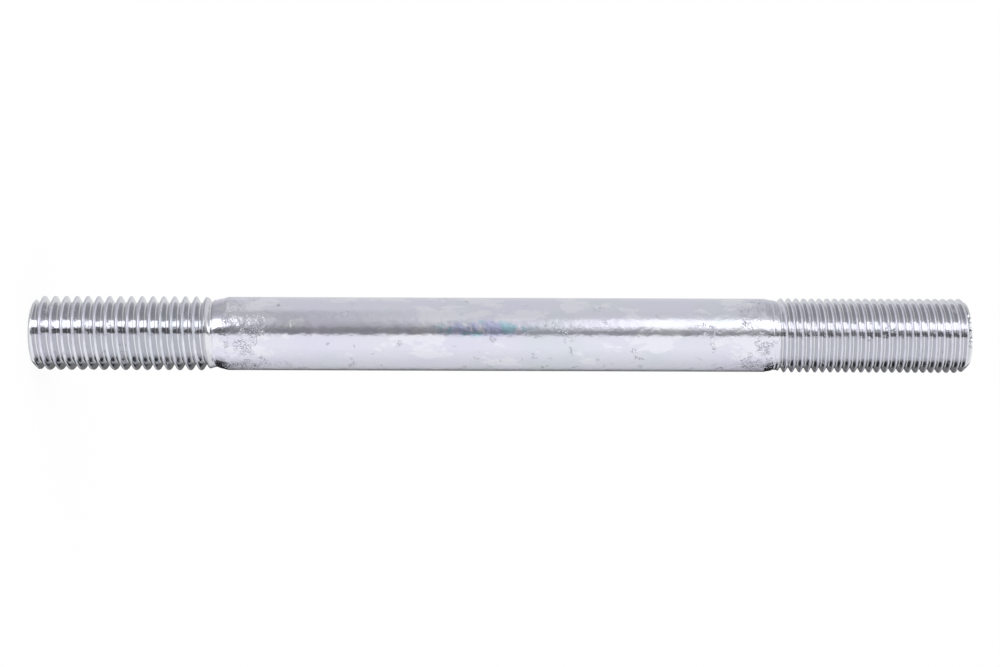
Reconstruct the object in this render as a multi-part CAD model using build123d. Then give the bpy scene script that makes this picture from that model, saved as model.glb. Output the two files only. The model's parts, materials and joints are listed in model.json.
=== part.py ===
"""Cylinder head stud: one turned and rolled steel rod with a metric thread at each end.

The coarse thread screws into the engine block and the fine thread takes the nut.
Units are millimetres. The stud stands along Z, as it does in a block, with the coarse
thread down and the fine thread up. The origin is the centre of the lower end face.
"""

from build123d import *
from dataclasses import dataclass
from math import cos, pi, radians, sin, tan
import os

# Driving dimensions of the rod
overall_length = 150.45  # end face to end face, along the axis
nominal_diameter = 12.0  # of both threads
shank_undersize = 0.15  # nominal diameter less the plain shank's diameter
nut_face_tilt = 3.0  # how far the nut end's sawn face is out of square, degrees

# Geometry of every ISO metric thread
flank_angle = 30.0  # between a flank and the plane square to the axis, degrees
pitch_depth_ratio = 0.64952  # nominal less pitch diameter, in pitches
root_depth_ratio = 1.22687  # nominal less root diameter, in pitches

# How a groove runs out towards the shank
runout_turns = 2  # turns over which it gets shallower
runout_power = 1.2  # its root rises with this power of the way along

# How a groove cutter is made
cutter_margin = 0.1  # how far it stands clear of the crests
exit_margin = 0.08  # how far it stands clear of the metal at its end
spline_points_per_turn = 24  # on the rails of the run-out


@dataclass(frozen=True)
class Thread:
    """One external right-hand thread, measured from its own end face to the shank."""

    pitch: float
    length: float  # end face to the neck
    allowance: float  # nominal less crest diameter, tolerance class 6g
    first_crest: float  # end face to the first whole crest, on the +X side
    chamfer: float  # radial size of the 45 degree lead at the end face
    fade_length: float  # along which the last crests fall to the neck
    neck_length: float  # plain rolled neck, as thick as the pitch diameter
    shoulder_angle: float  # half angle of the cone between neck and shank, degrees

    @property
    def crest_radius(self):
        return (nominal_diameter - self.allowance) / 2

    @property
    def neck_radius(self):
        return (nominal_diameter - pitch_depth_ratio * self.pitch) / 2

    @property
    def root_radius(self):
        return (nominal_diameter - root_depth_ratio * self.pitch) / 2

    @property
    def shoulder_length(self):
        return (shank_radius - self.neck_radius) / tan(radians(self.shoulder_angle))

    @property
    def plain_start(self):
        """Distance from the end face to the full shank."""
        return self.length + self.neck_length + self.shoulder_length

    def plain_radius(self, distance):
        """The blank's radius on the neck or the shoulder, at a distance from the end."""
        up_shoulder = distance - self.length - self.neck_length
        risen = max(0, up_shoulder) * tan(radians(self.shoulder_angle))
        return min(self.neck_radius + risen, shank_radius)

    def groove_half_width(self, radius):
        """Half the groove's width at a radius: a quarter pitch at the pitch line."""
        return self.pitch / 4 + (radius - self.neck_radius) * tan(radians(flank_angle))


shank_radius = (nominal_diameter - shank_undersize) / 2

block_thread = Thread(
    pitch=1.75,
    length=29.25,
    allowance=0.034,
    first_crest=0.7,
    chamfer=0.88,
    fade_length=1.8,
    neck_length=0.1,
    shoulder_angle=14.0,
)
nut_thread = Thread(
    pitch=1.25,
    length=30.6,
    allowance=0.028,
    first_crest=0.56,
    chamfer=0.85,
    fade_length=0.7,
    neck_length=0.22,
    shoulder_angle=10.0,
)


def end_outline(thread, overrun):
    """Half outline of one end as (radius, distance from the end face) points.

    It runs from the axis to the full shank. The lead cone is carried past the end
    face by overrun, for a face that is cut at a slant.
    """
    face_radius = thread.crest_radius - thread.chamfer
    return [
        (0, -overrun),
        (face_radius - overrun, -overrun),
        (thread.crest_radius, thread.chamfer),
        (thread.crest_radius, thread.length - thread.fade_length),
        (thread.neck_radius, thread.length),
        (thread.neck_radius, thread.length + thread.neck_length),
        (shank_radius, thread.plain_start),
    ]


def turned_blank():
    """The rod before its threads: two leads, two necks and the plain shank."""
    lean = radians(nut_face_tilt)
    overrun = 2 * nut_thread.crest_radius * tan(lean)
    nut_end = [(r, overall_length - d) for r, d in end_outline(nut_thread, overrun)]
    outline = end_outline(block_thread, 0) + nut_end[::-1]
    # turned from the +Y side, so that its seam stays clear of where the grooves start
    half = Plane.YZ * make_face(Polyline(*outline, close=True))
    blank = revolve(half, axis=Axis.Z)
    # the nut end stands highest on its +X side
    slant = Plane(origin=(0, 0, overall_length), z_dir=(-sin(lean), 0, cos(lean)))
    return split(blank, bisect_by=slant, keep=Keep.BOTTOM)


def helix_point(z, radius, turn):
    """A point at height z on a right-hand turn that starts on the +X side."""
    angle = 2 * pi * turn
    return Vector(radius * cos(angle), radius * sin(angle), z)


def full_rail(thread, z, radius):
    """One edge of a full turn of the groove."""
    return Edge.make_helix(thread.pitch, thread.pitch, radius, center=(0, 0, z))


def runout_rail(thread, z, radius, lift, turn):
    """One turn of one edge of the run-out: a helix whose radius grows by a power law.

    z and radius are where the run-out starts, and turn counts the turns before this.
    """
    points = []
    for step in range(spline_points_per_turn + 1):
        turned = turn + step / spline_points_per_turn
        risen = lift * (turned / runout_turns) ** runout_power
        points.append(helix_point(z + thread.pitch * turned, radius + risen, turned))
    directions = []
    for turned in (turn, turn + 1):
        share = turned / runout_turns
        around = 2 * pi * (radius + lift * share**runout_power)
        outwards = runout_power * lift * share ** (runout_power - 1) / runout_turns
        directions.append(Vector(outwards, around, thread.pitch))
    return Edge.make_spline(points, tangents=directions)


def skin(rails):
    """Ruled faces between neighbouring rails, all the way round a cross section."""
    neighbours = rails[1:] + rails[:1]
    return [Face.make_surface_from_curves(a, b) for a, b in zip(rails, neighbours)]


def cap(corners):
    """A flat face on the corners of one cross section."""
    return Face(Wire.make_polygon(corners, close=True))


def groove_cutter(thread):
    """The body that a thread's groove removes, with its end face at z = 0.

    A trapezium is carried along helical rails, one turn at a time, from a turn
    outside the end face to the last full turn, and then it is lifted out of the metal.
    """
    start_z = thread.first_crest - 1.5 * thread.pitch
    neck_end = thread.length + thread.neck_length
    full_turns = round((neck_end - start_z) / thread.pitch) - 1
    outer_radius = thread.crest_radius + cutter_margin
    radii = (thread.root_radius, thread.root_radius, outer_radius, outer_radius)
    corners = [
        (side * thread.groove_half_width(radius), radius)
        for side, radius in zip((-1, 1, 1, -1), radii)
    ]
    faces = [cap([helix_point(start_z + rise, radius, 0) for rise, radius in corners])]
    for turn in range(full_turns):
        turn_z = start_z + turn * thread.pitch
        faces += skin([full_rail(thread, turn_z + rise, radius) for rise, radius in corners])
    fade_z = start_z + full_turns * thread.pitch
    surface = thread.plain_radius(fade_z + runout_turns * thread.pitch)
    lift = surface - thread.root_radius + exit_margin
    for turn in range(runout_turns):
        rails = [runout_rail(thread, fade_z + rise, radius, lift, turn) for rise, radius in corners]
        faces += skin(rails)
    faces.append(cap([rail @ 1 for rail in rails]))
    return Solid(Shell(faces))


def stud():
    """The finished stud: the blank less the two grooves."""
    block_groove = groove_cutter(block_thread)
    nut_groove = Pos(0, 0, overall_length) * Rot(180, 0, 0) * groove_cutter(nut_thread)
    return turned_blank() - block_groove - nut_groove


if __name__ == "__main__":
    os.makedirs("parts", exist_ok=True)
    body = stud()
    body.label = "stud"
    export_step(body, "parts/stud.step")
    print("volume mm3", round(body.volume, 2), "solids", len(body.solids()), "valid", body.is_valid)
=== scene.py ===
"""Looks of a cylinder head stud: rolled threads, plain shank and zinc plating.

The stud stands along +Z on the end that screws into the block, coarse thread down and
fine thread up, and is lit and seen from the -Y side with its fine thread to the right.
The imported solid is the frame. One closed mesh stands for it, with rounded crests and
roots, run-outs and small handling marks. Sizes are in millimetres until they go into a
mesh or a place in the scene, which are in metres.
"""

import json
import logging
import math
from dataclasses import dataclass
from enum import Enum

import bpy
import numpy as np
from mathutils import Matrix, Vector


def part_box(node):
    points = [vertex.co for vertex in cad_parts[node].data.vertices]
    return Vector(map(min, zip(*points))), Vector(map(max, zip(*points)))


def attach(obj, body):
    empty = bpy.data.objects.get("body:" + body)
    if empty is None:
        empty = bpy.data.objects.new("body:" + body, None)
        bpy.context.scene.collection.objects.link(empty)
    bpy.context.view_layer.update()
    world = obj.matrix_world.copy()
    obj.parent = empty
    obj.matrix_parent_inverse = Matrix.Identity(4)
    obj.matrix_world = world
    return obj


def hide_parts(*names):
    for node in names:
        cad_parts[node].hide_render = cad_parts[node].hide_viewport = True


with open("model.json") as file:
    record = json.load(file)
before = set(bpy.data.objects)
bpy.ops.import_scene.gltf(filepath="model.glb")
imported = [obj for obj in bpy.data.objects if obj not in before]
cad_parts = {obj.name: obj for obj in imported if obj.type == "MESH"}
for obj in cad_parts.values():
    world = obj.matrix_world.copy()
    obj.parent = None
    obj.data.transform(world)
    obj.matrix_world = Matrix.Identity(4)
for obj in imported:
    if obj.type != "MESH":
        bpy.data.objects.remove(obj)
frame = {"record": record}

MM = 0.001  # metres in a millimetre
BOX_CLEARANCE = 0.001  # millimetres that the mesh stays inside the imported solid's box
NODE = "stud"
BODY = "root"
FLOOR_GAP = 0.02  # millimetres from the floor up to the stud's lower end
STAIN_ASIDE = -0.9  # millimetres from the axis to the middle of the stain, along X
STAIN_DROP = 2.0  # millimetres that it lies below the middle of the shank
AIM_DROP = 0.15  # millimetres that the camera aims below the stud's middle
BUMP_DEPTH = 0.2  # millimetres that a bump's height of 1 stands for

FLANK_ANGLE = math.radians(30.0)  # between a flank and the plane square to the axis
PITCH_DEPTH_RATIO = 0.64952  # nominal less pitch diameter, in pitches
ROOT_DEPTH_RATIO = 1.22687  # nominal less root diameter, in pitches

Place = tuple[float, float, float]
Colour = tuple[float, float, float, float]
Socket = bpy.types.NodeSocket

log = logging.getLogger(NODE)


def smooth_min(a: np.ndarray, b: np.ndarray, width: float) -> np.ndarray:
    """Takes the lower of two heights and rounds the corner where they cross.

    With h = 1/2 + (b - a) / (2 width), held between 0 and 1, the result is
    b (1 - h) + a h - width h (1 - h).

    Args:
        a: First heights.
        b: Second heights.
        width: Difference in height over which the corner is rounded.

    Returns:
        The rounded lower heights.
    """
    h = np.clip(0.5 + 0.5 * (b - a) / width, 0.0, 1.0)
    return b * (1.0 - h) + a * h - width * h * (1.0 - h)


def smooth_max(a: np.ndarray, b: np.ndarray, width: float) -> np.ndarray:
    """Takes the higher of two heights and rounds the corner: -smooth_min(-a, -b).

    Args:
        a: First heights.
        b: Second heights.
        width: Difference in height over which the corner is rounded.

    Returns:
        The rounded higher heights.
    """
    return -smooth_min(-a, -b, width)


def put_in_scene(name: str, data: bpy.types.ID) -> bpy.types.Object:
    """Makes an object at the origin and links it to the scene.

    Args:
        name: Name of the object.
        data: Its mesh, lamp or camera data.

    Returns:
        The object.
    """
    made = bpy.data.objects.new(name, data)
    bpy.context.scene.collection.objects.link(made)
    return made


@dataclass(frozen=True)
class RolledThread:
    """One external right-hand metric thread, measured from its own end face.

    Attributes:
        pitch: Distance from crest to crest, along the axis.
        length: End face to the neck.
        allowance: Nominal less crest diameter.
        first_crest: End face to the first whole crest, on the +X side.
        chamfer: Size of the 45 degree lead at the end face.
        fade_length: Length along which the last crests fall to the neck.
        neck_length: Plain rolled neck, as thick as the pitch diameter.
        shoulder_angle: Half angle of the cone between neck and shank, degrees.
        face_tilt: How far the end face is out of square, degrees.
        nominal_diameter: Diameter that the thread is called by.
        shank_radius: Radius of the plain shank that the shoulder rises to.
        runout_turns: Turns over which the groove gets shallower.
        runout_power: Its floor rises with this power of the way along.
        exit_margin: How far its floor stands clear of the metal at its end.
        flank_fade: Pitches from the groove's middle to where facing_end is full.
    """

    pitch: float
    length: float
    allowance: float
    first_crest: float
    chamfer: float
    fade_length: float
    neck_length: float
    shoulder_angle: float
    face_tilt: float
    nominal_diameter: float
    shank_radius: float
    runout_turns: int = 2
    runout_power: float = 1.2
    exit_margin: float = 0.08
    flank_fade: float = 0.08

    @property
    def crest_radius(self) -> float:
        """Radius over the crests."""
        return (self.nominal_diameter - self.allowance) / 2

    @property
    def neck_radius(self) -> float:
        """Radius at the pitch line, which the neck has too."""
        return (self.nominal_diameter - PITCH_DEPTH_RATIO * self.pitch) / 2

    @property
    def root_radius(self) -> float:
        """Radius at the bottom of the groove."""
        return (self.nominal_diameter - ROOT_DEPTH_RATIO * self.pitch) / 2

    @property
    def face_radius(self) -> float:
        """Radius of the end face where the lead meets it."""
        return self.crest_radius - self.chamfer

    @property
    def plain_start(self) -> float:
        """Distance from the end face to the full shank."""
        rise = self.shank_radius - self.neck_radius
        return self.length + self.neck_length + rise / math.tan(math.radians(self.shoulder_angle))

    @property
    def groove_start(self) -> float:
        """Place of the groove's middle on the +X side, a crest and a half before the first."""
        return self.first_crest - 1.5 * self.pitch

    @property
    def full_turns(self) -> int:
        """Turns of the groove before it starts to run out."""
        return round((self.length + self.neck_length - self.groove_start) / self.pitch) - 1

    @property
    def crest_rounding(self) -> float:
        """Height over which a crest's corners are rounded."""
        return 0.07 * self.pitch

    @property
    def root_rounding(self) -> float:
        """Height over which a root's corners are rounded, as rolling leaves them."""
        return 0.12 * self.pitch

    def blank_radius(self, distance: np.ndarray) -> np.ndarray:
        """Radius of the rod before its groove: crests, fade, neck, shoulder and shank.

        Straight lines join the radii at the distances where the outline turns.

        Args:
            distance: Distances from the end face.

        Returns:
            The radius at each distance.
        """
        neck_end = self.length + self.neck_length
        stops = [self.length - self.fade_length, self.length, neck_end, self.plain_start]
        radii = [self.crest_radius, self.neck_radius, self.neck_radius, self.shank_radius]
        return np.interp(distance, stops, radii)

    def groove_floor(self, turns: np.ndarray, offset: np.ndarray) -> np.ndarray:
        """Radius of the groove's surface.

        It is the higher of the root and the flank, where the flank is
        neck radius + (|offset| - pitch / 4) / tan(flank angle). Over the run-out both
        rise by lift (turns past the last full turn / run-out turns) ** power.

        Args:
            turns: Turns from where the groove starts.
            offset: Distance from the groove's middle, along the axis.

        Returns:
            The radius at each place.
        """
        end = self.groove_start + (self.full_turns + self.runout_turns) * self.pitch
        lift = float(self.blank_radius(np.array(end))) - self.root_radius + self.exit_margin
        share = np.maximum(turns - self.full_turns, 0.0) / self.runout_turns
        risen = lift * share**self.runout_power
        flank = self.neck_radius + (np.abs(offset) - self.pitch / 4) / math.tan(FLANK_ANGLE)
        return risen + smooth_max(np.full_like(flank, self.root_radius), flank, self.root_rounding)

    def surface_radius(self, angle: np.ndarray, distance: np.ndarray) -> np.ndarray:
        """Radius of the finished thread: the lowest of blank, grooves and lead cone.

        The groove's middle lies at start + pitch (n + angle / 2 pi) for each whole n,
        and the three nearest turns count at every place.

        Args:
            angle: Angles about the axis from +X, radians.
            distance: Distances from the end face.

        Returns:
            The radius at each place.
        """
        around = angle / (2 * math.pi)
        turn = (distance - self.groove_start) / self.pitch - around
        radius = self.blank_radius(distance)
        for neighbour in (-1, 0, 1):
            whole = np.round(turn) + neighbour
            floor = self.groove_floor(whole + around, (turn - whole) * self.pitch)
            radius = smooth_min(radius, floor, self.crest_rounding)
        return smooth_min(radius, self.face_radius + distance, self.crest_rounding)

    def facing_end(self, angle: np.ndarray, distance: np.ndarray) -> np.ndarray:
        """How far a place in the groove lies on the flank that faces the end face.

        Args:
            angle: Angles about the axis from +X, radians.
            distance: Distances from the end face.

        Returns:
            From 0 at the groove's middle to 1 on that flank, and 0 on the other flank.
        """
        turn = (distance - self.groove_start) / self.pitch - angle / (2 * math.pi)
        return np.clip((turn - np.round(turn)) / self.flank_fade, 0.0, 1.0)

    def face_edge(self, angle: np.ndarray) -> tuple[np.ndarray, np.ndarray]:
        """Edge where the slanted end face cuts the lead cone and the groove.

        On the face the distance is -radius cos(angle) tan(tilt), and the surface has one
        radius at each distance, so the two are worked out in turn until they agree.

        Args:
            angle: Angles about the axis from +X, radians.

        Returns:
            The edge's radius and its distance from the square end plane.
        """
        lean = math.tan(math.radians(self.face_tilt))
        radius = np.full_like(angle, self.face_radius)
        for _ in range(12):
            radius = self.surface_radius(angle, -radius * np.cos(angle) * lean)
        return radius, -radius * np.cos(angle) * lean


@dataclass(frozen=True)
class HandlingMarks:
    """Small dents that parts in a bin leave on each other's crests.

    Attributes:
        count: How many there are on one end.
        depth: Least and greatest depth.
        reach: Least and greatest spread.
        seed: Start of the random draws.
        near_face: Share of them that lies beside the end face.
        edge: Least and greatest distance of those from the end face.
        side: Range of angles about the axis that they lie in, degrees.
    """

    count: int
    depth: tuple[float, float]
    reach: tuple[float, float]
    seed: int
    near_face: float = 0.3
    edge: tuple[float, float] = (0.1, 0.8)
    side: tuple[float, float] = (0.0, 360.0)

    def lowering(self, thread: RolledThread, angle: np.ndarray, distance: np.ndarray) -> np.ndarray:
        """How much the marks lower the surface.

        Each is depth exp(-(s / reach) ** 2), where s is the distance from its middle over
        the surface, and where marks overlap the deepest one counts.

        Args:
            thread: The thread that they are on.
            angle: Angles about the axis from +X, radians.
            distance: Distances from the end face.

        Returns:
            The lowering at each place.
        """
        rng = np.random.default_rng(self.seed)
        middle_angle = np.radians(rng.uniform(*self.side, self.count))
        beside = rng.random(self.count) < self.near_face
        far = rng.uniform(thread.chamfer, thread.length, self.count)
        near = rng.uniform(*self.edge, self.count)
        middle = np.where(beside, near, far)
        depth = rng.uniform(*self.depth, self.count)
        reach = rng.uniform(*self.reach, self.count)
        total = np.zeros_like(distance)
        for i in range(self.count):
            turned = np.angle(np.exp(1j * (angle - middle_angle[i]))) * thread.crest_radius
            away = (turned**2 + (distance - middle[i]) ** 2) / reach[i] ** 2
            total = np.maximum(total, depth[i] * np.exp(-away))
        return total


class Look(Enum):
    """Attributes that the finish goes by, each from 0 to 1."""

    GROOVE = "groove_depth"
    CREST = "thread_crest"
    # Mask of the painted shade on the flanks that face the ends.
    FRONT = "front_flank"


@dataclass
class Surface:
    """Part of a closed mesh: corners, triangles and what each corner is like.

    Attributes:
        points: Corners, one row of x, y, z each, millimetres.
        triangles: Three corner numbers in each row, anticlockwise from outside.
        looks: What the finish goes by at each corner, one column for each Look.
    """

    points: np.ndarray
    triangles: np.ndarray
    looks: np.ndarray


def split_quads(a: np.ndarray, b: np.ndarray, c: np.ndarray, d: np.ndarray) -> np.ndarray:
    """Cuts four-sided cells into triangles and drops those that have collapsed.

    Args:
        a: Corner numbers of the cells' first corners.
        b: Second corners, anticlockwise from outside.
        c: Third corners.
        d: Fourth corners.

    Returns:
        The triangles, one row of three corner numbers each.
    """
    first = np.stack([a.ravel(), b.ravel(), c.ravel()], axis=1)
    second = np.stack([a.ravel(), c.ravel(), d.ravel()], axis=1)
    both = np.concatenate([first, second])
    whole = (both[:, 0] != both[:, 1]) & (both[:, 1] != both[:, 2]) & (both[:, 2] != both[:, 0])
    return both[whole]


@dataclass(frozen=True)
class ThreadedEnd:
    """One end of the stud: its thread, lead and end face, with the end face at z = 0.

    Attributes:
        thread: The thread's sizes.
        marks: The sets of handling marks on it.
        columns: Corners around the axis.
        rows_per_pitch: Rows of corners from one crest to the next.
        crowding: How much closer rows lie at crests and roots than on flanks, 0 to 1.
        margin: Plain shank that belongs to this end, beyond the shoulder.
        snap: Rows nearer than this to the end of the grid are merged into its ring.
        spare: Pitches of rows laid out past both ends, which are then held there.
        crest_share: Share of the thread's depth that still looks like a crest.
        face_shares: Sizes of the end face's rings, as shares of its edge.
    """

    thread: RolledThread
    marks: tuple[HandlingMarks, ...]
    columns: int = 108
    rows_per_pitch: int = 16
    crowding: float = 0.5
    margin: float = 0.8
    snap: float = 0.02
    spare: int = 3
    crest_share: float = 0.13
    face_shares: tuple[float, ...] = (0.985, 0.93, 0.75, 0.5, 0.25)

    @property
    def top(self) -> float:
        """Distance from the end face to the ring that the shank starts at."""
        return self.thread.plain_start + self.margin

    def row_places(self) -> np.ndarray:
        """Places of the rows on the +X side, from before the end face to past the ring.

        Row k lies k / rows pitches from a crest, less crowding sin(4 pi k / rows) / 4 pi,
        so that rows crowd together at each crest and each root.

        Returns:
            The distance from the end face of each row.
        """
        first = -self.spare * self.rows_per_pitch
        last = int((self.top / self.thread.pitch + self.spare) * self.rows_per_pitch)
        share = np.arange(first, last) / self.rows_per_pitch
        crowded = share - self.crowding * np.sin(4 * math.pi * share) / (4 * math.pi)
        return self.thread.first_crest + crowded * self.thread.pitch

    def outside(self) -> tuple[Surface, np.ndarray, np.ndarray]:
        """Skin of the thread, on a grid whose rows follow the helix.

        A corner of column i and row k lies at angle 2 pi i / columns and distance
        place(k) + pitch i / columns, held between the end face's edge and the top ring.
        One turn on, a row meets the row one pitch above it, so the last column joins
        the first with that shift. Corners held at an end are one corner of its ring.
        Marks act in full on crests and the lead, and not below half the thread's depth.

        Returns:
            The skin, the corner numbers of its lower ring and those of its upper ring.
        """
        columns = np.arange(self.columns)
        angle, place = np.meshgrid(2 * math.pi * columns / self.columns, self.row_places())
        distance = place + self.thread.pitch * angle / (2 * math.pi)
        _, low = self.thread.face_edge(angle)
        below = distance < low + self.snap
        above = distance > self.top - self.snap
        distance = np.where(below, low, np.where(above, self.top, distance))
        number = np.where(below, columns, self.columns + columns)
        free = ~(below | above)
        number[free] = 2 * self.columns + np.arange(free.sum())

        radius = self.thread.surface_radius(angle, distance)
        span = self.thread.crest_radius - self.thread.root_radius
        depth = np.clip((self.thread.crest_radius - radius) / span, 0.0, 1.0)
        raised = np.clip(1.0 - 2.0 * depth, 0.0, 1.0)
        dents = [marks.lowering(self.thread, angle, distance) for marks in self.marks]
        on_crest = np.maximum(raised, distance < self.thread.chamfer)
        radius = radius - np.max(dents, axis=0) * on_crest * ~above

        points = np.zeros((number.max() + 1, 3))
        points[number] = np.stack([radius * np.cos(angle), radius * np.sin(angle), distance], axis=-1)
        lean = math.tan(math.radians(self.thread.face_tilt))
        points[columns, 2] = -points[columns, 0] * lean
        in_thread = distance < self.thread.length
        crest = np.clip(1.0 - depth / self.crest_share, 0.0, 1.0)
        # Painted shade: how far the finish darkens each place on the flanks that face the end face.
        front = self.thread.facing_end(angle, distance) * (1.0 - crest)
        looks = np.zeros((len(points), len(Look)))
        looks[number] = np.stack([depth, crest, front], axis=-1) * in_thread[..., None]

        shift = self.rows_per_pitch
        wrapped = np.concatenate([number[:-shift, 1:], number[shift:, :1]], axis=1)
        here = number[:-shift]
        triangles = split_quads(here[:-1], wrapped[:-1], wrapped[1:], here[1:])
        return Surface(points, triangles, looks), columns, self.columns + columns

    def end_face(self, edge: np.ndarray, ring: np.ndarray, first_number: int) -> Surface:
        """Flat end face as rings that shrink from the edge to one corner at the middle.

        Each ring is the edge's corners times one share, so it lies in the same slanted
        plane. The outermost lies close to the edge, which then shades as a small round.

        Args:
            edge: The edge's corners.
            ring: Their numbers.
            first_number: Number that the face's first new corner gets.

        Returns:
            The face's new corners, and triangles that join them to the edge.
        """
        shares = np.array(self.face_shares)
        rings = (edge * shares[:, None, None]).reshape(-1, 3)
        points = np.concatenate([rings, np.zeros((1, 3))])
        number = first_number + np.arange(shares.size * self.columns).reshape(shares.size, -1)
        pole = np.full((1, self.columns), first_number + len(rings))
        grid = np.concatenate([ring[None, :], number, pole])
        onward = np.roll(grid, -1, axis=1)
        triangles = split_quads(grid[:-1], grid[1:], onward[1:], onward[:-1])
        return Surface(points, triangles, np.zeros((len(points), len(Look))))

    def build(self) -> tuple[Surface, np.ndarray]:
        """Joins the skin and the end face.

        Returns:
            The end of the stud and the corner numbers of its upper ring.
        """
        skin, lower, upper = self.outside()
        face = self.end_face(skin.points[lower], lower, len(skin.points))
        points = np.concatenate([skin.points, face.points])
        triangles = np.concatenate([skin.triangles, face.triangles])
        looks = np.concatenate([skin.looks, face.looks])
        return Surface(points, triangles, looks), upper


@dataclass(frozen=True)
class Shank:
    """Plain drawn rod between the two threaded ends.

    Attributes:
        radius: Radius of the rod.
        rows: Rows of corners between the two rings.
        waviness: How far the drawn surface wanders below its radius.
        waves: Waves of that wander along the rod.
    """

    radius: float
    rows: int = 46
    waviness: float = 0.006
    waves: float = 5.0

    def rings(self, low: float, high: float, columns: int) -> np.ndarray:
        """Corners of the rings between two heights.

        The radius is the rod's less waviness times a product of slow sines of height and
        angle, squared, which also falls to nothing at both ends.

        Args:
            low: Height of the ring below the first.
            high: Height of the ring above the last.
            columns: Corners around the axis.

        Returns:
            The corners, ring after ring, millimetres.
        """
        share = (np.arange(self.rows) + 1) / (self.rows + 1)
        angle, along = np.meshgrid(2 * math.pi * np.arange(columns) / columns, share)
        wave = np.sin(math.pi * self.waves * along + np.sin(angle)) * np.cos(2 * angle + 3 * along)
        radius = self.radius - self.waviness * wave**2 * np.sin(math.pi * along)
        height = low + (high - low) * along
        return np.stack([radius * np.cos(angle), radius * np.sin(angle), height], axis=-1).reshape(-1, 3)


@dataclass(frozen=True)
class Stud:
    """The whole stud as one closed mesh.

    Attributes:
        overall_length: Square end plane to square end plane.
        block_end: The end with the coarse thread, at the bottom.
        nut_end: The end with the fine thread, at the top.
        shank: The plain rod between them.
    """

    overall_length: float
    block_end: ThreadedEnd
    nut_end: ThreadedEnd
    shank: Shank

    def surface(self) -> Surface:
        """Joins both ends and the shank.

        The nut end is turned over about the X axis, (x, y, z) to (x, -y, length - z), so
        the ring corner at an angle meets the one that was at minus that angle.

        Returns:
            The closed surface in millimetres.
        """
        block, block_ring = self.block_end.build()
        nut, nut_ring = self.nut_end.build()
        turned_over = nut.points * (1, -1, -1) + (0, 0, self.overall_length)
        columns = self.block_end.columns
        low = self.block_end.top
        high = self.overall_length - self.nut_end.top
        middle = self.shank.rings(low, high, columns)

        nut_first = len(block.points)
        middle_first = nut_first + len(nut.points)
        own = middle_first + np.arange(self.shank.rows * columns).reshape(-1, columns)
        meeting = nut_first + nut_ring[-np.arange(columns) % columns]
        grid = np.concatenate([block_ring[None, :], own, meeting[None, :]])
        onward = np.roll(grid, -1, axis=1)
        walls = split_quads(grid[:-1], onward[:-1], onward[1:], grid[1:])
        points = np.concatenate([block.points, turned_over, middle])
        triangles = np.concatenate([block.triangles, nut.triangles + nut_first, walls])
        looks = np.concatenate([block.looks, nut.looks, np.zeros((len(middle), len(Look)))])
        return Surface(points, triangles, looks)

    def build(self, name: str) -> bpy.types.Object:
        """Makes the object, smooth shaded, with each Look as an attribute.

        Args:
            name: Name of the object.

        Returns:
            The new object at the origin, in metres.
        """
        surface = self.surface()
        used, triangles = np.unique(surface.triangles, return_inverse=True)
        mesh = bpy.data.meshes.new(name)
        mesh.from_pydata(surface.points[used] * MM, [], triangles.reshape(-1, 3))
        mesh.shade_smooth()
        for look, values in zip(Look, surface.looks[used].T.astype(np.float32)):
            mesh.attributes.new(look.value, "FLOAT", "POINT").data.foreach_set("value", values.copy())
        mesh.validate()
        return put_in_scene(name, mesh)


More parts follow.
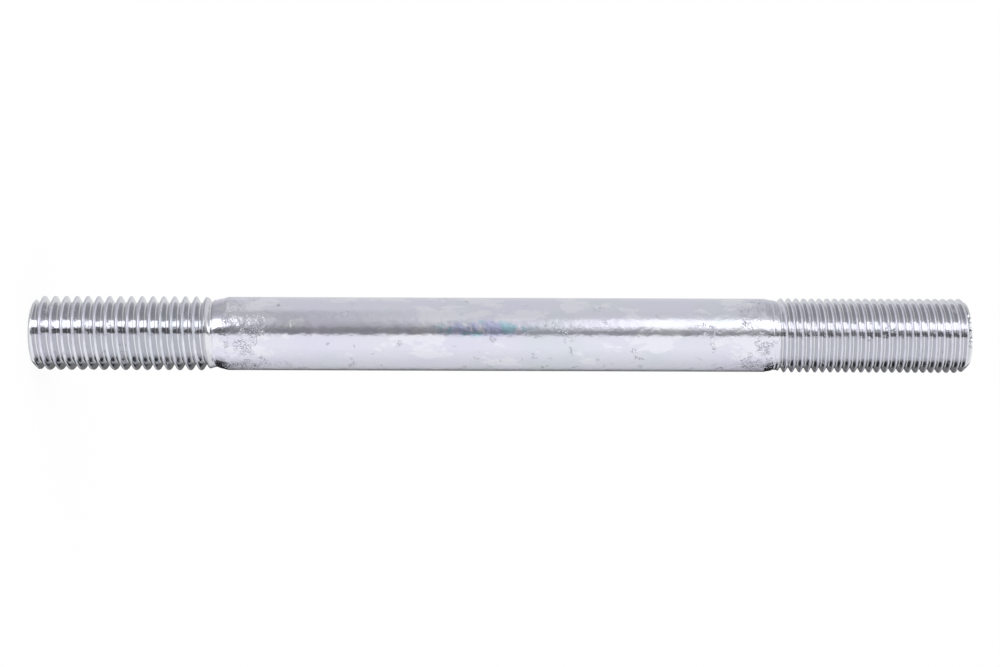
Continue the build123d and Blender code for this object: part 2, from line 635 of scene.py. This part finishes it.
@dataclass(frozen=True)
class Nodes:
    """Adds and joins shader nodes in one tree.

    Attributes:
        tree: The node tree to add to.
    """

    tree: bpy.types.NodeTree

    @property
    def given(self) -> bpy.types.bpy_prop_collection:
        """What a group is given, by input name."""
        return self.tree.nodes["Group Input"].outputs

    def add(self, kind: str, settings: dict | None = None, **inputs: object) -> bpy.types.Node:
        """Adds a node, sets it up and feeds its inputs.

        Args:
            kind: Blender's type name for the node.
            settings: Properties of the node to set before its inputs.
            **inputs: Values or output sockets by input name, with _ for a space. A name
                that starts with in and a number means the input of that number.

        Returns:
            The new node.
        """
        node = self.tree.nodes.new(kind)
        for key, value in (settings or {}).items():
            setattr(node, key, value)
        for key, value in inputs.items():
            numbered = key.startswith("in") and key[2:].isdigit()
            socket = node.inputs[int(key[2:]) if numbered else key.replace("_", " ")]
            self.feed(socket, value)
        return node

    def feed(self, socket: Socket, value: object) -> None:
        """Links an output socket to an input, or sets the input's value.

        Args:
            socket: The input.
            value: An output socket, or a value for the input.
        """
        if isinstance(value, Socket):
            self.tree.links.new(value, socket)
        else:
            socket.default_value = value

    def put_out(self, **values: Socket) -> bpy.types.NodeTree:
        """Feeds a group's outputs and hands the group back.

        Args:
            **values: Sockets by the name of the group's output.

        Returns:
            The group.
        """
        out = self.tree.nodes["Group Output"]
        for label, value in values.items():
            self.feed(out.inputs[label], value)
        return self.tree

    def place(self, group: bpy.types.NodeTree, **inputs: object) -> bpy.types.bpy_prop_collection:
        """Places a group in the tree and gives its outputs."""
        return self.add("ShaderNodeGroup", {"node_tree": group}, **inputs).outputs

    def vector(self, operation: str, *values: object) -> bpy.types.Node:
        """Adds a Vector Math node that works on the values in order."""
        inputs = {f"in{i}": value for i, value in enumerate(values)}
        return self.add("ShaderNodeVectorMath", {"operation": operation}, **inputs)

    def math(self, operation: str, *values: object, clamp: bool = False) -> Socket:
        """Adds one Math node.

        Args:
            operation: Blender's name for the operation.
            *values: Its inputs in order.
            clamp: Whether the result is held between 0 and 1.

        Returns:
            The result.
        """
        settings = {"operation": operation, "use_clamp": clamp}
        inputs = {f"in{i}": value for i, value in enumerate(values)}
        return self.add("ShaderNodeMath", settings, **inputs).outputs[0]

    def step(self, value: object, low: float, high: float) -> Socket:
        """Maps a value from low..high to a smooth 0..1.

        Args:
            value: What to map.
            low: Where the result is 0.
            high: Where the result is 1.

        Returns:
            The result.
        """
        settings = {"interpolation_type": "SMOOTHSTEP"}
        inputs = {"Value": value, "From_Min": low, "From_Max": high}
        return self.add("ShaderNodeMapRange", settings, **inputs).outputs["Result"]

    def blend(self, share: object, a: object, b: object, way: str = "MIX") -> Socket:
        """Mixes two colours.

        Args:
            share: How much of the second, 0 to 1.
            a: First colour.
            b: Second colour.
            way: Blender's name for how they mix.

        Returns:
            The mixed colour.
        """
        settings = {"data_type": "RGBA", "blend_type": way, "clamp_factor": True}
        return self.add("ShaderNodeMix", settings, in0=share, in6=a, in7=b).outputs[2]

    def noise(self, place: object, scale: float, detail: float, rough: float = 0.5) -> Socket:
        """Adds a noise texture.

        Args:
            place: Where it is read.
            scale: Waves per unit.
            detail: Octaves.
            rough: How much each octave adds.

        Returns:
            The noise, about 0 to 1.
        """
        inputs = {"Vector": place, "Scale": scale, "Detail": detail, "Roughness": rough}
        return self.add("ShaderNodeTexNoise", None, **inputs).outputs["Fac"]

    def bump(self, strength: float, height: Socket, **under: Socket) -> Socket:
        """Adds a Bump node.

        Args:
            strength: How much it bends the normal.
            height: Height, 0 to 1.
            **under: The Normal of a bump that lies underneath.

        Returns:
            The bent normal.
        """
        inputs = {"Strength": strength, "Distance": BUMP_DEPTH * MM, "Height": height} | under
        return self.add("ShaderNodeBump", None, **inputs).outputs[0]

    def seen_directly(self) -> Socket:
        """Tells camera, glossy and transmission rays from those that only bring light.

        Returns:
            1 for the rays that see and 0 for the others.
        """
        path = self.add("ShaderNodeLightPath").outputs
        seen = self.math("MAXIMUM", path["Is Camera Ray"], path["Is Glossy Ray"])
        return self.math("MAXIMUM", seen, path["Is Transmission Ray"])


def empty_nodes(owner: bpy.types.Material | bpy.types.World) -> Nodes:
    """Turns on the shader nodes of a material or world and clears them.

    Args:
        owner: The material or world.

    Returns:
        Its empty tree.
    """
    owner.use_nodes = True
    owner.node_tree.nodes.clear()
    return Nodes(owner.node_tree)


class Effect(Enum):
    """Effects that the zinc is put together from, each one node group."""

    PITS = "wandering_pits"
    GRAIN = "fine_grain"
    BLOOM = "passivate_bloom"
    STAIN = "passivate_stain"


def new_group(effect: Effect, inputs: dict[str, float | None], outputs: tuple[str, ...]) -> Nodes:
    """Makes an empty shader node group.

    Args:
        effect: The effect that it makes.
        inputs: Input names with their start values, or None for a vector.
        outputs: Output names, of which Color is a colour and the others are numbers.

    Returns:
        The group's nodes, with its input and output nodes in place.
    """
    tree = bpy.data.node_groups.new(effect.value, "ShaderNodeTree")
    for label, value in inputs.items():
        kind = "NodeSocketVector" if value is None else "NodeSocketFloat"
        socket = tree.interface.new_socket(name=label, in_out="INPUT", socket_type=kind)
        if value is not None:
            socket.default_value = value
    for label in outputs:
        kind = "NodeSocketColor" if label == "Color" else "NodeSocketFloat"
        tree.interface.new_socket(name=label, in_out="OUTPUT", socket_type=kind)
    tree.nodes.new("NodeGroupInput")
    tree.nodes.new("NodeGroupOutput")
    return Nodes(tree)


@dataclass(frozen=True)
class ZincPlating:
    """Bright zinc with a clear blue passivate, with painted shade on the pits and on the flanks that face
    the ends.

    Attributes:
        shoulders: Heights of the two ends of the plain shank, where pits gather.
        stain: Middle of the patch where the passivate film is thick enough to colour.
        stain_reach: How far that patch reaches along each axis.
        name: Name of the material.
        pale: Colour of clean plating.
        lilac: Colour that it leans to in wide soft patches.
        mint: Colour that it leans to in fewer patches.
        bright: Colour where the film is thinnest.
        teal: First colour of the stained patch.
        violet: Second colour of the stained patch.
        rolled: Colour on the flanks and at the roots of the threads.
        dark: Colour of the painted shade inside pits and on the flanks that face the ends.
        bloom_share: How much of the soft patches shows on the plain shank.
        bloom_loss: How much of that is lost at the roots of the threads.
        stain_share: How much of the stain's colour shows.
        rolled_share: How much of the rolled colour shows.
        flank_painted_shade: How far the painted shade darkens the flanks that face the ends.
        pit_painted_shade: How far the painted shade darkens the pits.
        roughness: Roughness of clean plating.
        haze_roughness: What haze adds to it.
        pit_roughness: What pits add to it.
        flank_roughness: What the flanks add to it.
        crest_roughness: What the crests add to it.
        pit_bump: Strength of the pits' relief.
        ripple_bump: Strength of the ripple's relief.
        grain_bump: Strength of the relief of pebbles and draw lines.
        line_share: Share of draw lines in that relief.
        pit_insets: Where pits are thickest, inwards from each shoulder.
        pit_reach: Distances from there where the added pits start to thin out and end.
        pit_amounts: Share of pits on the plain shank, and what is added beside a shoulder.
    """

    shoulders: tuple[float, float]
    stain: Place
    stain_reach: Place = (1.35, 3.0, 7.5)
    name: str = "zinc_plated_steel"
    pale: Colour = (0.755, 0.765, 0.86, 1.0)
    lilac: Colour = (0.75, 0.725, 0.87, 1.0)
    mint: Colour = (0.70, 0.755, 0.80, 1.0)
    bright: Colour = (0.88, 0.88, 0.94, 1.0)
    teal: Colour = (0.30, 0.62, 0.74, 1.0)
    violet: Colour = (0.52, 0.56, 0.84, 1.0)
    rolled: Colour = (0.79, 0.80, 0.84, 1.0)
    # Colour of the painted shade on pits and on the flanks that face the ends.
    dark: Colour = (0.20, 0.205, 0.22, 1.0)
    bloom_share: float = 0.6
    bloom_loss: float = 0.4
    stain_share: float = 0.75
    rolled_share: float = 0.8
    # Painted shade on the flanks that face the ends.
    flank_painted_shade: float = 0.36
    # Painted shade inside the pits.
    pit_painted_shade: float = 0.12
    roughness: float = 0.16
    haze_roughness: float = 0.08
    pit_roughness: float = 0.1
    flank_roughness: float = -0.06
    crest_roughness: float = 0.2
    pit_bump: float = 0.9
    ripple_bump: float = 0.28
    grain_bump: float = 0.1
    line_share: float = 0.4
    pit_insets: tuple[float, float] = (2.4, 1.6)
    pit_reach: tuple[float, float] = (1.0, 5.0)
    pit_amounts: tuple[float, float] = (0.42, 0.5)

    def pits(self) -> bpy.types.NodeTree:
        """Short wandering pits that gather in clusters.

        The middle level of a fine noise leaves worm-like lines, and a wide noise, cut by
        Amount, says where they gather.

        Returns:
            The group, with a height and a mask.
        """
        n = new_group(Effect.PITS, {"Vector": None, "Amount": 0.5}, ("Height", "Mask"))
        fine = n.noise(n.given["Vector"], scale=2500.0, detail=0.6)
        hollow = n.step(n.math("ABSOLUTE", n.math("SUBTRACT", fine, 0.5)), low=0.06, high=0.0)
        wide = n.noise(n.given["Vector"], scale=420.0, detail=2.0, rough=0.6)
        level = n.math("SUBTRACT", 0.78, n.math("MULTIPLY", n.given["Amount"], 0.34))
        gathered = n.math("MULTIPLY", n.math("SUBTRACT", wide, level), 9.0, clamp=True)
        mask = n.math("MULTIPLY", hollow, gathered)
        return n.put_out(Height=n.math("SUBTRACT", 1.0, mask), Mask=mask)

    def grain(self) -> bpy.types.NodeTree:
        """Grain of the plated steel: even pebbling, soft ripple and lengthwise draw lines.

        Returns:
            The group, with a height for the pebbles and lines and one for the ripple.
        """
        n = new_group(Effect.GRAIN, {"Vector": None, "Lines": 0.5}, ("Height", "Ripple"))
        place = n.given["Vector"]
        pebbles = n.noise(place, scale=1500.0, detail=3.0, rough=0.55)
        drawn = n.add("ShaderNodeMapping", None, Vector=place, Scale=(1.0, 1.0, 0.03)).outputs[0]
        lines = n.noise(drawn, scale=900.0, detail=2.0)
        settings = {"data_type": "FLOAT"}
        pick = n.add("ShaderNodeMix", settings, in0=n.given["Lines"], in2=pebbles, in3=lines)
        return n.put_out(Height=pick.outputs[0], Ripple=n.noise(place, scale=850.0, detail=2.0))

    def bloom(self) -> bpy.types.NodeTree:
        """Faint colours of the passivate film, in wide patches that fade into each other.

        Returns:
            The group, with a colour and a mask for haze.
        """
        n = new_group(Effect.BLOOM, {"Vector": None, "Strength": 1.0}, ("Color", "Haze"))
        place = n.given["Vector"]
        moved = n.add("ShaderNodeMapping", None, Vector=place, Location=(0.31, 0.17, 0.05)).outputs[0]
        along = n.add("ShaderNodeMapping", None, Vector=moved, Scale=(1.0, 1.0, 0.5)).outputs[0]
        lilac = n.step(n.noise(place, scale=75.0, detail=2.0), low=0.42, high=0.62)
        mint = n.step(n.noise(moved, scale=105.0, detail=2.0), low=0.52, high=0.68)
        bright = n.step(n.noise(along, scale=240.0, detail=4.0, rough=0.6), low=0.53, high=0.59)
        color = self.pale
        for share, tint in ((lilac, self.lilac), (mint, self.mint), (bright, self.bright)):
            color = n.blend(n.math("MULTIPLY", share, n.given["Strength"]), color, tint)
        haze = n.step(n.noise(moved, scale=320.0, detail=4.0, rough=0.6), low=0.4, high=0.75)
        return n.put_out(Color=color, Haze=haze)

    def stain_group(self) -> bpy.types.NodeTree:
        """Teal and violet patches around one place, broken up by noise.

        Returns:
            The group, with a colour and a mask.
        """
        n = new_group(Effect.STAIN, {"Vector": None}, ("Color", "Mask"))
        place = n.given["Vector"]
        middle, reach = (tuple(part * MM for part in size) for size in (self.stain, self.stain_reach))
        scaled = n.vector("DIVIDE", n.vector("SUBTRACT", place, middle).outputs[0], reach)
        away = n.vector("LENGTH", scaled.outputs[0]).outputs["Value"]
        near = n.step(away, low=1.3, high=0.5)
        broken = n.step(n.noise(place, scale=480.0, detail=2.0, rough=0.55), low=0.42, high=0.54)
        hue = n.step(n.noise(place, scale=260.0, detail=1.0), low=0.52, high=0.62)
        color = n.blend(hue, self.teal, self.violet)
        return n.put_out(Color=color, Mask=n.math("MULTIPLY", near, broken))

    def pit_amount(self, n: Nodes, height: Socket) -> Socket:
        """Share of the surface that pits take: most beside the shoulders.

        Args:
            n: The material's nodes.
            height: Height over the block end.

        Returns:
            The share.
        """
        low, high = (shoulder * MM for shoulder in self.shoulders)
        from_low, from_high = (inset * MM for inset in self.pit_insets)
        full, none = (distance * MM for distance in self.pit_reach)
        beside = []
        for middle in (low + from_low, high - from_high):
            away = n.math("ABSOLUTE", n.math("SUBTRACT", height, middle))
            beside.append(n.step(away, low=none, high=full))
        plain, added = self.pit_amounts
        return n.math("ADD", plain, n.math("MULTIPLY", n.math("MAXIMUM", *beside), added))

    def build(self) -> bpy.types.Material:
        """Puts the plating together on one metal shader.

        Returns:
            The material.
        """
        material = bpy.data.materials.new(self.name)
        n = empty_nodes(material)
        place = n.add("ShaderNodeTexCoord").outputs["Object"]
        groove, crest, front = (
            n.add("ShaderNodeAttribute", {"attribute_name": look.value}).outputs["Fac"] for look in Look
        )
        height = n.add("ShaderNodeSeparateXYZ", None, Vector=place).outputs["Z"]

        shown = n.math("SUBTRACT", self.bloom_share, n.math("MULTIPLY", groove, self.bloom_loss))
        bloom = n.place(self.bloom(), Vector=place, Strength=shown)
        stain = n.place(self.stain_group(), Vector=place)
        pits = n.place(self.pits(), Vector=place, Amount=self.pit_amount(n, height))
        grain = n.place(self.grain(), Vector=place, Lines=self.line_share)

        flank = n.step(groove, low=0.0, high=0.35)
        layers = (
            (stain["Mask"], self.stain_share, stain["Color"]),
            (flank, self.rolled_share, self.rolled),
            # Painted shade on the flanks that face the ends and inside the pits.
            (front, self.flank_painted_shade, self.dark),
            (pits["Mask"], self.pit_painted_shade, self.dark),
        )
        color = bloom["Color"]
        for mask, share, tint in layers:
            color = n.blend(n.math("MULTIPLY", mask, share), color, tint)
        changes = (
            (bloom["Haze"], self.haze_roughness),
            (pits["Mask"], self.pit_roughness),
            (flank, self.flank_roughness),
            (crest, self.crest_roughness),
        )
        rough = self.roughness
        for mask, change in changes:
            rough = n.math("ADD", rough, n.math("MULTIPLY", mask, change))

        normal = n.bump(self.pit_bump, pits["Height"])
        normal = n.bump(self.ripple_bump, grain["Ripple"], Normal=normal)
        normal = n.bump(self.grain_bump, grain["Height"], Normal=normal)
        finish = {"Base_Color": color, "Roughness": rough, "Metallic": 1.0, "Normal": normal}
        shader = n.add("ShaderNodeBsdfPrincipled", None, **finish)
        n.add("ShaderNodeOutputMaterial", None, Surface=shader.outputs[0])
        return material


@dataclass(frozen=True)
class Card:
    """A curved studio card beside the stud that only its reflections show.

    Its brightness changes evenly from stop to stop, as a lit diffuser's does.

    Attributes:
        name: Name of the card.
        reach: Distance from the axis.
        angles: Stops around the stud, degrees from -Y towards -X.
        heights: Stops in height.
        levels: Brightness at the angle stops, a row for each height, where 1 is white.
        bend: Degrees from fold to fold, apart from the folds at the stops.
    """

    name: str
    reach: float
    angles: tuple[float, ...]
    heights: tuple[float, ...]
    levels: tuple[tuple[float, ...], ...]
    bend: float = 5.0

    def build(self) -> None:
        """Bends the card round the axis: (-reach sin(a), -reach cos(a), height)."""
        degrees = np.union1d(self.angles, np.arange(self.angles[0], self.angles[-1], self.bend))
        arc = -self.reach * np.stack([np.sin(np.radians(degrees)), np.cos(np.radians(degrees))], axis=1)
        rows = [np.column_stack([arc, np.full(len(arc), height)]) for height in self.heights]
        number = np.arange(len(arc) * len(rows)).reshape(len(rows), -1)
        sides = (number[:-1, :-1], number[:-1, 1:], number[1:, 1:], number[1:, :-1])
        mesh = bpy.data.meshes.new(self.name)
        mesh.from_pydata(np.concatenate(rows) * MM, [], np.stack(sides, axis=-1).reshape(-1, 4))
        level = [np.interp(degrees, self.angles, row) for row in self.levels]
        attribute = mesh.attributes.new("level", "FLOAT", "POINT")
        attribute.data.foreach_set("value", np.concatenate(level).astype(np.float32))
        mesh.materials.append(self.material())
        card = put_in_scene(self.name, mesh)
        for rays in ("camera", "diffuse", "transmission", "shadow"):
            setattr(card, f"visible_{rays}", False)

    def material(self) -> bpy.types.Material:
        """Plain light of the level that each place on the card has.

        Returns:
            The material.
        """
        material = bpy.data.materials.new(self.name)
        n = empty_nodes(material)
        level = n.add("ShaderNodeAttribute", {"attribute_name": "level"}).outputs["Fac"]
        light = n.add("ShaderNodeEmission", None, Strength=level)
        n.add("ShaderNodeOutputMaterial", None, Surface=light.outputs[0])
        return material


def upper_card() -> Card:
    """Card on the -X side, which gives the highlight and the darker bands beside it.

    Returns:
        The card.
    """
    block_thread = (1.00, 1.00, 0.12, 0.12, 0.14, 2.50, 2.50, 0.66, 0.50, 0.46, 0.50, 0.75, 0.80)
    shoulder = (1.00, 1.00, 0.22, 0.27, 0.32, 0.40, 0.45, 0.45, 0.50, 0.74, 0.74, 0.76, 0.76)
    low_shank = (1.00, 1.00, 0.22, 0.24, 0.32, 0.52, 0.78, 0.74, 0.72, 0.74, 0.74, 0.76, 0.76)
    mid_shank = (1.00, 1.00, 0.24, 0.36, 0.74, 0.92, 0.80, 0.70, 0.72, 0.74, 0.74, 0.76, 0.76)
    high_shank = (1.00, 0.60, 0.26, 0.32, 0.74, 1.34, 1.34, 0.74, 0.70, 0.74, 0.74, 0.76, 0.76)
    nut_thread = (0.14, 0.14, 0.14, 0.14, 0.85, 2.20, 2.20, 0.74, 0.50, 0.46, 0.50, 0.75, 0.80)
    shank = (shoulder, low_shank, mid_shank, high_shank, high_shank)
    return Card(
        "upper_card",
        reach=90.0,
        angles=(-4.0, -1.6, -1.5, 9.0, 19.0, 25.0, 46.0, 49.0, 68.0, 80.0, 112.0, 145.0, 178.0),
        heights=(-250.0, 12.0, 22.0, 64.0, 84.0, 106.0, 127.0, 134.0, 400.0),
        levels=(block_thread, block_thread, *shank, nut_thread, nut_thread),
    )


def under_card() -> Card:
    """Card on the +X side, dark past both ends, which gives the threads' dark edges.

    Returns:
        The card.
    """
    past_end = (0.02, 0.02, 0.02, 0.02, 0.05, 0.70, 1.00, 1.00)
    beside = (0.14, 0.20, 0.60, 0.74, 0.77, 0.80, 0.87, 0.97)
    return Card(
        "under_card",
        reach=300.0,
        angles=(-178.0, -150.0, -135.0, -119.0, -110.0, -98.0, -80.0, -50.0),
        heights=(-170.0, -14.0, -6.0, 156.0, 164.0, 320.0),
        levels=(past_end, past_end, beside, beside, past_end, past_end),
    )


@dataclass(frozen=True)
class Floor:
    """Plain pale floor that meets the white background without an edge.

    Attributes:
        height: Height of the floor.
        half_side: Half its side.
        own_white: Share of plain white in what is seen of it beside the stud.
        seamless_from: Distance from the stud from which it is plain white.
    """

    height: float
    half_side: float = 3000.0
    own_white: float = 0.9
    seamless_from: float = 160.0

    def build(self) -> None:
        """Makes the floor, which keeps the stud's shadow and can't be seen from below."""
        side = self.half_side
        corners = [(-side, -side), (side, -side), (side, side), (-side, side)]
        mesh = bpy.data.meshes.new("floor")
        mesh.from_pydata([(x * MM, y * MM, self.height * MM) for x, y in corners], [], [(0, 1, 2, 3)])
        mesh.materials.append(self.material())
        floor = put_in_scene("floor", mesh)
        floor.visible_glossy = False

    def material(self) -> bpy.types.Material:
        """White matt floor, mixed with plain white for the rays that see it.

        Returns:
            The material.
        """
        material = bpy.data.materials.new("floor_white")
        n = empty_nodes(material)
        matt = n.add("ShaderNodeBsdfDiffuse", None, Color=(0.95, 0.95, 0.95, 1.0))
        plain = n.add("ShaderNodeEmission", None, Strength=1.0)
        place = n.add("ShaderNodeTexCoord").outputs["Object"]
        away = n.vector("LENGTH", place).outputs["Value"]
        far = n.step(away, low=0.0, high=self.seamless_from * MM)
        white = n.math("ADD", self.own_white, n.math("MULTIPLY", far, 1.0 - self.own_white))
        share = n.math("MULTIPLY", n.seen_directly(), white)
        mixed = n.add("ShaderNodeMixShader", None, in0=share, in1=matt.outputs[0], in2=plain.outputs[0])
        clear = n.add("ShaderNodeBsdfTransparent")
        behind = n.add("ShaderNodeNewGeometry").outputs["Backfacing"]
        sided = n.add("ShaderNodeMixShader", None, in0=behind, in1=mixed.outputs[0], in2=clear.outputs[0])
        n.add("ShaderNodeOutputMaterial", None, Surface=sided.outputs[0])
        return material


@dataclass(frozen=True)
class Studio:
    """Soft studio light: white surroundings, one large lamp and reflection cards.

    Attributes:
        cards: The cards that give the metal its bands.
        surround: Level of the white that lights matt surfaces.
        lamp_side: Side of the square lamp.
        lamp_place: Where the lamp is.
        lamp_aim: Height on the axis that it points at.
        lamp_power: Its power, watts.
    """

    cards: tuple[Card, ...]
    surround: float = 0.9
    lamp_side: float = 500.0
    lamp_place: Place = (-350.0, -450.0, 700.0)
    lamp_aim: float = 70.0
    lamp_power: float = 2.2

    def light(self) -> None:
        """Sets up the surroundings, the lamp and the cards."""
        world = bpy.data.worlds.new("studio_white")
        bpy.context.scene.world = world
        n = empty_nodes(world)
        white = (1.0, 1.0, 1.0, 1.0)
        lit = n.add("ShaderNodeBackground", None, Color=white, Strength=self.surround)
        plain = n.add("ShaderNodeBackground", None, Color=white, Strength=1.0)
        seen = n.seen_directly()
        mixed = n.add("ShaderNodeMixShader", None, in0=seen, in1=lit.outputs[0], in2=plain.outputs[0])
        n.add("ShaderNodeOutputWorld", None, Surface=mixed.outputs[0])

        data = bpy.data.lights.new("soft_lamp", "AREA")
        data.size = self.lamp_side * MM
        data.energy = self.lamp_power
        lamp = put_in_scene("soft_lamp", data)
        lamp.location = Vector(self.lamp_place) * MM
        aim = Vector((0.0, 0.0, self.lamp_aim * MM)) - lamp.location
        lamp.rotation_euler = aim.to_track_quat("-Z", "Y").to_euler()
        lamp.visible_camera = False
        lamp.visible_glossy = False
        for card in self.cards:
            card.build()


@dataclass(frozen=True)
class StudCamera:
    """Camera square to the stud, rolled so that the stud lies across the picture.

    Attributes:
        distance: Distance from the stud's axis.
        height: Height that it looks at.
        lens: Focal length.
        sensor: Width of the sensor.
        roll: How far the nut end dips in the picture, degrees.
        aside: How far the axis lies from the middle of the picture, towards +X.
        clip: Nearest and farthest distance that it sees.
    """

    distance: float
    height: float
    lens: float = 69.4
    sensor: float = 36.0
    roll: float = 0.2
    aside: float = 0.15
    clip: tuple[float, float] = (10.0, 20000.0)

    def build(self) -> bpy.types.Object:
        """Places the camera: right is +Z, up is -X, and it looks along +Y.

        Returns:
            The camera.
        """
        data = bpy.data.cameras.new("camera")
        data.lens = self.lens
        data.sensor_width = self.sensor
        data.clip_start, data.clip_end = (distance * MM for distance in self.clip)
        camera = put_in_scene("camera", data)
        across = Matrix(((0, -1, 0), (0, 0, -1), (1, 0, 0))).to_4x4()
        dip = Matrix.Rotation(math.radians(self.roll), 4, "Z")
        place = Matrix.Translation(Vector((-self.aside, -self.distance, self.height)) * MM)
        camera.matrix_world = place @ across @ dip
        bpy.context.scene.camera = camera
        return camera


def mount(record: dict, name: str) -> dict:
    """Finds one of the record's mounts by name."""
    return next(m for m in record["mounts"] if m["name"] == name)


def stud_from_frame(record: dict) -> Stud:
    """Takes the stud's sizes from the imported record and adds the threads' own.

    Args:
        record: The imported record.

    Returns:
        The stud.
    """
    shank = mount(record, "shank")
    shank_radius = shank["dims"]["r_mm"]
    common = {"nominal_diameter": 12.0, "shank_radius": shank_radius}
    block_thread = RolledThread(
        pitch=1.75,
        length=mount(record, "block_thread")["pos_m"][2] / MM,
        allowance=0.034,
        first_crest=0.7,
        chamfer=0.88,
        fade_length=1.8,
        neck_length=0.1,
        shoulder_angle=14.0,
        face_tilt=0.0,
        **common,
    )
    nut_thread = RolledThread(
        pitch=1.25,
        length=30.6,
        allowance=0.028,
        first_crest=0.56,
        chamfer=0.85,
        fade_length=0.7,
        neck_length=0.22,
        shoulder_angle=10.0,
        face_tilt=3.0,
        **common,
    )
    block_marks = HandlingMarks(count=26, depth=(0.03, 0.12), reach=(0.15, 0.4), seed=7)
    nut_marks = HandlingMarks(count=34, depth=(0.03, 0.12), reach=(0.12, 0.35), seed=11)
    nut_chips = HandlingMarks(
        count=14,
        depth=(0.2, 0.5),
        reach=(0.14, 0.3),
        seed=5,
        near_face=1.0,
        edge=(-0.1, 0.5),
        side=(70.0, 126.0),
    )
    return Stud(
        overall_length=mount(record, "nut_thread")["pos_m"][2] / MM - BOX_CLEARANCE,
        block_end=ThreadedEnd(block_thread, (block_marks,)),
        nut_end=ThreadedEnd(nut_thread, (nut_marks, nut_chips)),
        shank=Shank(shank_radius),
    )


def main() -> None:
    """Builds the stud, its finish, the studio and the camera, and logs the stud's triangles and the
    camera's lens.
    """
    logging.basicConfig(level=logging.INFO, format="%(name)s: %(message)s")
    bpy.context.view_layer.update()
    scene = bpy.context.scene
    scene.view_settings.view_transform = "Standard"

    stud = stud_from_frame(frame["record"])
    piece = stud.build("stud_rod")
    low_shoulder = stud.block_end.thread.plain_start
    high_shoulder = stud.overall_length - stud.nut_end.thread.plain_start
    middle = (low_shoulder + high_shoulder) / 2
    stain = (STAIN_ASIDE, -stud.shank.radius, middle - STAIN_DROP)
    piece.data.materials.append(ZincPlating((low_shoulder, high_shoulder), stain).build())
    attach(piece, BODY)
    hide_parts(NODE)
    log.info("%s: %d triangles", piece.name, len(piece.data.polygons))

    low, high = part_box(NODE)
    Floor(height=low.z / MM - FLOOR_GAP).build()
    Studio(cards=(upper_card(), under_card())).light()
    camera = StudCamera(distance=312.0, height=(low.z + high.z) / 2 / MM - AIM_DROP).build()
    log.info("%s: %.1f mm lens", camera.name, camera.data.lens)


if __name__ == "__main__":
    main()
